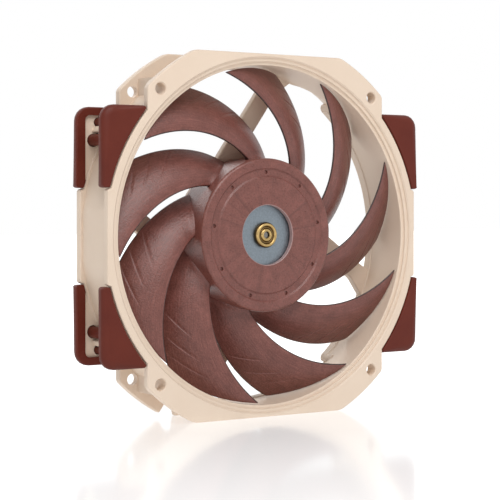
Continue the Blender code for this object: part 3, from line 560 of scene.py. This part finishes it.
# A blade is drawn as a grid: rows that follow each other outwards, with close ones at each groove,
# and columns from the leading to the trailing edge. Each row's place is a share of the blade's length.
grooves, groove_depth = (0.5175, 0.6825, 0.8075), 0.00036
first_row, row_reach, row_gaps = 0.0289, 0.0362, 35
rows = [(first_row + row_reach * (k / row_gaps) ** 1.25 - hub_radius) / blade_length
        for k in range(row_gaps + 1)]
rows = sorted(rows + [groove + side for groove in grooves for side in (-0.035, 0.0, 0.011)])
deselect()
bpy.ops.mesh.primitive_grid_add(x_subdivisions=len(rows) - 1, y_subdivisions=28, size=1.0)
blade = settle("blade")
thickness = blade.vertex_groups.new(name="thickness")
full_thickness, fillet_reach = 0.0050, 0.0009
places, depths = {}, {}
for point in blade.data.vertices:
    row, chord = rows[round((point.co.x + 0.5) * (len(rows) - 1))], point.co.y + 0.5
    lean = limit((row - 0.10) / 0.35, (1.0115 - row) / 0.16)
    out = row + 0.065 * (1.0 - chord) * lean
    radius = hub_radius + blade_length * out
    span = max(0.0, out)
    fade = limit((chord - 0.44) / 0.16, (0.97 - chord) / 0.11)
    depths[point.index] = groove_depth * fade if row in grooves else 0.0
    hook = 1.0 - (1.0 - span) ** 4
    leading = 101.0 + 43.9 * span + 1.7 * hook
    trailing = 68.8 + 42.9 * span + 5.8 * hook
    leading_y = -0.0041 - 0.0040 * span - 0.0012 * hook
    trailing_y = 0.0071 + 0.0009 * span - 0.0036 * hook
    angle = math.radians(leading + (trailing - leading) * chord)
    camber = (0.0020 - 0.0004 * span) * 4.0 * chord * (1.0 - chord)
    y = leading_y + (trailing_y - leading_y) * chord - camber
    places[point.index] = (span, chord)
    point.co = (radius * math.cos(angle), y, radius * math.sin(angle))
    section = 0.42 + 0.58 * math.sin(math.pi * chord**0.62)
    fillet = 1.0 + 1.3 * math.exp(-span * blade_length / fillet_reach)
    local = 0.0018 * section * (1.0 - 0.30 * span) * fillet
    thickness.add([point.index], local / full_thickness, "REPLACE")
sheet = blade.data.uv_layers.active.data
for loop in blade.data.loops:
    sheet[loop.index].uv = places[loop.vertex_index]
if sum(face.normal.y for face in blade.data.polygons) > 0:
    open_mesh(blade)
    bpy.ops.mesh.flip_normals()
    close_mesh()
work(blade, "SOLIDIFY", thickness=full_thickness, offset=0.0, vertex_group="thickness")
# The solid's two skins have the grid's points in the same order. The grooves go into the front one.
points, count = blade.data.vertices, len(places)
front_skin = count if sum(points[i].co.y - points[i + count].co.y for i in places) > 0 else 0
for i, depth in depths.items():
    points[i + front_skin].co.y += depth
work(blade, "SUBSURF", levels=1, render_levels=1)
bpy.ops.object.shade_smooth()


def shade(nodes, link, surface, amount, colour):
    """Lays one more colour over the base colour, by an amount that varies over the surface."""
    under = surface.inputs["Base Color"].links[0].from_socket
    link(mix_colours(nodes, link, amount, under, colour), surface.inputs["Base Color"])


def combine(nodes, link, operation, first, second):
    """A sum or another operation on two values, each a number or a socket."""
    made = add(nodes, "ShaderNodeMath", operation=operation)
    for socket, value in zip(made.inputs, (first, second)):
        if isinstance(value, float):
            socket.default_value = value
        else:
            link(value, socket)
    return made.outputs["Value"]


def fibre_plastic(name, roughness):
    """Brown plastic with short glass fibres: mottled, with a fine grain in colour and relief."""
    light, dark = (0.225, 0.077, 0.061), (0.112, 0.032, 0.023)
    return moulded(name, light, dark, roughness, 0.6, 230.0, 1500.0, 0.55)


def axis_group():
    """Where a place lies about the fan's axis: its distance and the direction to it."""
    group, nodes, link = open_group(
        "about_axis", [], [("Distance", "Float"), ("Direction", "Vector")])
    place, result = nodes.new("ShaderNodeTexCoord"), nodes.new("NodeGroupOutput")
    flat = add(nodes, "ShaderNodeVectorMath", operation="MULTIPLY")
    flat.inputs[1].default_value = (1.0, 0.0, 1.0)
    link(place.outputs["Object"], flat.inputs[0])
    measures = (("LENGTH", "Value", "Distance"), ("NORMALIZE", "Vector", "Direction"))
    for operation, output, name in measures:
        step = add(nodes, "ShaderNodeVectorMath", operation=operation)
        link(flat.outputs["Vector"], step.inputs[0])
        link(step.outputs[output], result.inputs[name])
    return group


about_axis = axis_group()


def hub_plastic():
    """The hub's face: dark flow streaks outwards from the middle, and a painted highlight, a bright rim
    round the hole.
    """
    material = fibre_plastic("brown_hub_plastic", 0.32)
    nodes, link, surface = inside(material)
    place = add(nodes, "ShaderNodeGroup", node_tree=about_axis)
    radius = place.outputs["Distance"]
    streak = add(nodes, "ShaderNodeTexNoise", Scale=6.5, Detail=5.0, Roughness=0.75)
    link(place.outputs["Direction"], streak.inputs["Vector"])
    dark = spread(nodes, link, streak.outputs["Fac"], 0.52, 0.68, 0.0, 0.75)
    within = spread(nodes, link, radius, 0.0228, 0.0222)
    streaks = combine(nodes, link, "MULTIPLY", dark, within)
    shade(nodes, link, surface, streaks, (0.085, 0.024, 0.018))
    # Painted highlight: a pale rim round the hole, in place of light caught by its edge.
    painted_rim_highlight = spread(nodes, link, radius, 0.01195, 0.0118, 0.0, 0.6)
    shade(nodes, link, surface, painted_rim_highlight, (0.48, 0.34, 0.33))
    return material


def blade_plastic():
    """A blade: dark and light flow streaks along its length, drawn on its UV sheet, and painted shade
    that darkens both edges.
    """
    material = fibre_plastic("brown_blade_plastic", 0.38)
    nodes, link, surface = inside(material)
    flat, split = nodes.new("ShaderNodeUVMap"), nodes.new("ShaderNodeSeparateXYZ")
    stretch = add(nodes, "ShaderNodeVectorMath", operation="MULTIPLY")
    stretch.inputs[1].default_value = (5.0, 60.0, 1.0)
    noise = add(nodes, "ShaderNodeTexNoise", Scale=1.0, Detail=4.0, Roughness=0.7)
    link(flat.outputs["UV"], split.inputs["Vector"])
    link(flat.outputs["UV"], stretch.inputs[0])
    link(stretch.outputs["Vector"], noise.inputs["Vector"])
    dark = spread(nodes, link, noise.outputs["Fac"], 0.46, 0.70, 0.0, 0.7)
    shade(nodes, link, surface, dark, (0.085, 0.025, 0.018))
    light = spread(nodes, link, noise.outputs["Fac"], 0.44, 0.28, 0.0, 0.6)
    shade(nodes, link, surface, light, (0.290, 0.115, 0.095))
    # Painted shade: both edges of each blade are darkened in colour.
    leading_edge_shade = spread(nodes, link, split.outputs["Y"], 0.030, 0.012)
    trailing_edge_shade = spread(nodes, link, split.outputs["Y"], 0.975, 0.992)
    edges = combine(nodes, link, "MAXIMUM", leading_edge_shade, trailing_edge_shade)
    shade(nodes, link, surface, edges, (0.028, 0.008, 0.006))
    return material


impeller.data.materials.append(hub_plastic())
blade.data.materials.append(blade_plastic())
for number in range(blade_count):
    pick(blade)
    bpy.ops.object.duplicate()
    copy = bpy.context.object
    turn_about_axis(copy, -blade_step * number)
    impeller.select_set(True)
    bpy.context.view_layer.objects.active = impeller
    bpy.ops.object.join()
bpy.data.objects.remove(blade, do_unlink=True)
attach(impeller, "rotor")
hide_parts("impeller")


# Shaft boss. A turned brass bush, riveted through the yoke's face and pressed on the shaft. Its domed
# collar and the shaft's end show in the hub's hole.

boss = [
    (0.0011, -0.0091, 0.0001), (0.0013, -0.0097, 0.0002), (0.0022, -0.0099, 0.0003),
    (0.0027, -0.0092, 0.0002), (0.0032, -0.0092, 0.0002), (0.0037, -0.0100, 0.0003),
    (0.0044, -0.0101, 0.0004), (0.0050, -0.0092, 0.0004), (0.0050, -0.0084, 0), (0.0034, -0.0084, 0),
    (0.0034, -0.0048, 0), (0.0018, -0.0048, 0), (0.0018, -0.0091, 0),
]
collar = turned("brass_collar", boss, 96)
smooth(collar)


def marks_group():
    """Fine tool marks for every metal here. Across stretches them along one direction."""
    group, nodes, link = open_group(
        "tool_marks", [("Across", "Vector", (1.0, 1.0, 1.0))], [("Marks", "Float")])
    given, result = nodes.new("NodeGroupInput"), nodes.new("NodeGroupOutput")
    place, stretch = nodes.new("ShaderNodeTexCoord"), nodes.new("ShaderNodeMapping")
    noise = add(nodes, "ShaderNodeTexNoise", Scale=900.0, Detail=4.0, Roughness=0.65)
    link(place.outputs["Object"], stretch.inputs["Vector"])
    link(given.outputs["Across"], stretch.inputs["Scale"])
    link(stretch.outputs["Vector"], noise.inputs["Vector"])
    link(spread(nodes, link, noise.outputs["Fac"], 0.35, 0.65), result.inputs["Marks"])
    return group


tool_marks = marks_group()


def metal(name, colour, roughness, across=(1.0, 1.0, 1.0), bump=0.05):
    """Bare metal with tool marks in its colour, gloss and relief."""
    material, nodes, link, surface = open_material(name)
    surface.inputs["Metallic"].default_value = 1.0
    marks = add(nodes, "ShaderNodeGroup", node_tree=tool_marks, Across=across).outputs["Marks"]
    dark = tuple(0.78 * c for c in colour)
    link(mix_colours(nodes, link, marks, dark, colour), surface.inputs["Base Color"])
    texture(nodes, link, surface, marks, roughness - 0.06, roughness + 0.08, bump)
    return material


def painted_ring_shade(material, rings, colour):
    """Painted shade: dark rings about the axis, in the turned grooves and at the edges, in place of dark
    reflections, given as (radius, half width).
    """
    nodes, link, surface = inside(material)
    place = add(nodes, "ShaderNodeGroup", node_tree=about_axis)
    for radius, reach in rings:
        offset = combine(nodes, link, "SUBTRACT", place.outputs["Distance"], radius)
        away = combine(nodes, link, "ABSOLUTE", offset, 0.0)
        amount = spread(nodes, link, away, reach, 0.6 * reach, 0.0, 0.9)
        shade(nodes, link, surface, amount, colour)
    return material


brass = metal("turned_brass", (0.52, 0.36, 0.15), 0.16)
# The dark rings on the brass collar are painted shade, not tarnish.
brass_ring_shade = ((0.0030, 0.0006), (0.0010, 0.0005), (0.0050, 0.0003))
collar.data.materials.append(painted_ring_shade(brass, brass_ring_shade, (0.10, 0.060, 0.025)))
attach(collar, "rotor")
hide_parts("shaft_boss")


# Yoke, shaft and bearing. Pressed sheet steel for the yoke, ground steel for the shaft, and the tube,
# sleeve and rings that guide it. Only the yoke's face and the shaft's end can be seen.

def dress(material, *nodes):
    """Gives the CAD's own solids a material."""
    for node in nodes:
        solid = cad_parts[node]
        solid.data.materials.clear()
        solid.data.materials.append(material)


dress(metal("yoke_steel", (0.235, 0.272, 0.305), 0.40, (1.6, 1.6, 1.6), 0.30), "rotor_yoke")
dress(metal("shaft_steel", (0.20, 0.19, 0.18), 0.25), "shaft")
dress(metal("bearing_brass", (0.78, 0.53, 0.19), 0.22), "bearing_tube", "bearing_sleeve")
ferrite = moulded("sintered_ferrite", (0.060, 0.060, 0.065), (0.045, 0.045, 0.050), 0.60, 0.3)
dress(ferrite, "ring_magnet", "axial_magnet")
nylon = moulded("natural_nylon", (0.78, 0.76, 0.70), (0.72, 0.70, 0.64), 0.48, 0.15)
dress(nylon, "oil_seal", "thrust_pad", "retaining_clip")


# Stator and electronics. A stack of lamination sheet with a winding on each tooth, on a small round
# board with its sensor, driver and capacitors. All of it is closed in between hub and motor base.

dress(metal("lamination_sheet", (0.33, 0.34, 0.36), 0.45, (1.0, 12.0, 1.0), 0.2), "stator_core")
dress(nylon, "insulator_upper", "insulator_lower", "capacitor_1", "capacitor_2")
winding = metal("enamelled_copper", (0.62, 0.26, 0.09), 0.30, (1.0, 8.0, 1.0), 0.3)
dress(winding, "coil_1", "coil_2", "coil_3", "coil_4")
resist = moulded("solder_resist", (0.030, 0.160, 0.065), (0.022, 0.125, 0.050), 0.40, 0.1)
dress(resist, "circuit_board")
epoxy = moulded("chip_epoxy", (0.050, 0.050, 0.055), (0.040, 0.040, 0.045), 0.50, 0.2)
dress(epoxy, "hall_sensor", "driver_chip")


# Studio. A glossy white table top that runs out of sight and glows by itself as painted light: the glow
# is weaker near the fan, which washes out its shadows and lets its reflection fade, and the light it
# gives the fan is an even glow. Then an even white surround, and soft boxes in front, at the left and
# behind. The camera looks at the intake side from the left, level with the hub.

deselect()
bpy.ops.mesh.primitive_plane_add(size=6.0, location=(0.0, 0.0, -0.0701))
floor = bpy.context.object
floor.name = "table_top"
white, nodes, link, table = open_material("glowing_white_acrylic")
table.inputs["Base Color"].default_value = (0.30, 0.30, 0.30, 1.0)
table.inputs["Roughness"].default_value = 0.12
table.inputs["Emission Strength"].default_value = 1.0
place, ray = nodes.new("ShaderNodeTexCoord"), nodes.new("ShaderNodeLightPath")
distance = add(nodes, "ShaderNodeVectorMath", operation="LENGTH")
link(place.outputs["Object"], distance.inputs[0])
# Painted light: the table top glows, less near the fan than further out.
painted_floor_glow = spread(nodes, link, distance.outputs["Value"], 0.06, 0.24, 0.50, 0.80)
lit = combine(nodes, link, "MAXIMUM", painted_floor_glow, ray.outputs["Is Diffuse Ray"])
link(lit, table.inputs["Emission Color"])
floor.data.materials.append(white)

world = bpy.data.worlds.new("white_surround")
bpy.context.scene.world = world
world.use_nodes = True
nodes, link = world.node_tree.nodes, world.node_tree.links.new
ray = nodes.new("ShaderNodeLightPath")
seen = combine(nodes, link, "MAXIMUM", ray.outputs["Is Camera Ray"], ray.outputs["Is Glossy Ray"])
link(spread(nodes, link, seen, 0.0, 1.0, 0.27, 1.0), nodes["Background"].inputs["Strength"])
nodes["Background"].inputs["Color"].default_value = (1.0, 1.0, 1.0, 1.0)


def soft_box(name, place, size, power):
    """A square soft light that faces the middle of the fan."""
    light = bpy.data.lights.new(name, "AREA")
    light.shape = "RECTANGLE"
    light.size = light.size_y = size
    light.energy = power
    lamp = bpy.data.objects.new(name, light)
    bpy.context.scene.collection.objects.link(lamp)
    lamp.location = place
    aim = Vector((0.0, 0.0, 0.0)) - Vector(place)
    lamp.rotation_euler = aim.to_track_quat("-Z", "Y").to_euler()


soft_box("key_box", (-0.18, -0.74, 0.92), 0.8, 9.7)
soft_box("side_box", (-0.85, -0.60, 0.70), 0.7, 1.4)
soft_box("rear_box", (0.0, 1.07, 0.54), 0.9, 3.1)

lens = bpy.data.cameras.new("camera")
lens.lens = 114.83
lens.sensor_width = 36.0
lens.sensor_fit = "HORIZONTAL"
lens.shift_y = -0.0971
lens.clip_start = 0.01
camera = bpy.data.objects.new("camera", lens)
bpy.context.scene.collection.objects.link(camera)
camera.location = (-0.34470, -0.52260, 0.0130)
camera.rotation_euler = (math.radians(90.0), 0.0, math.radians(-33.3))
bpy.context.scene.camera = camera
bpy.context.scene.view_settings.view_transform = "Standard"
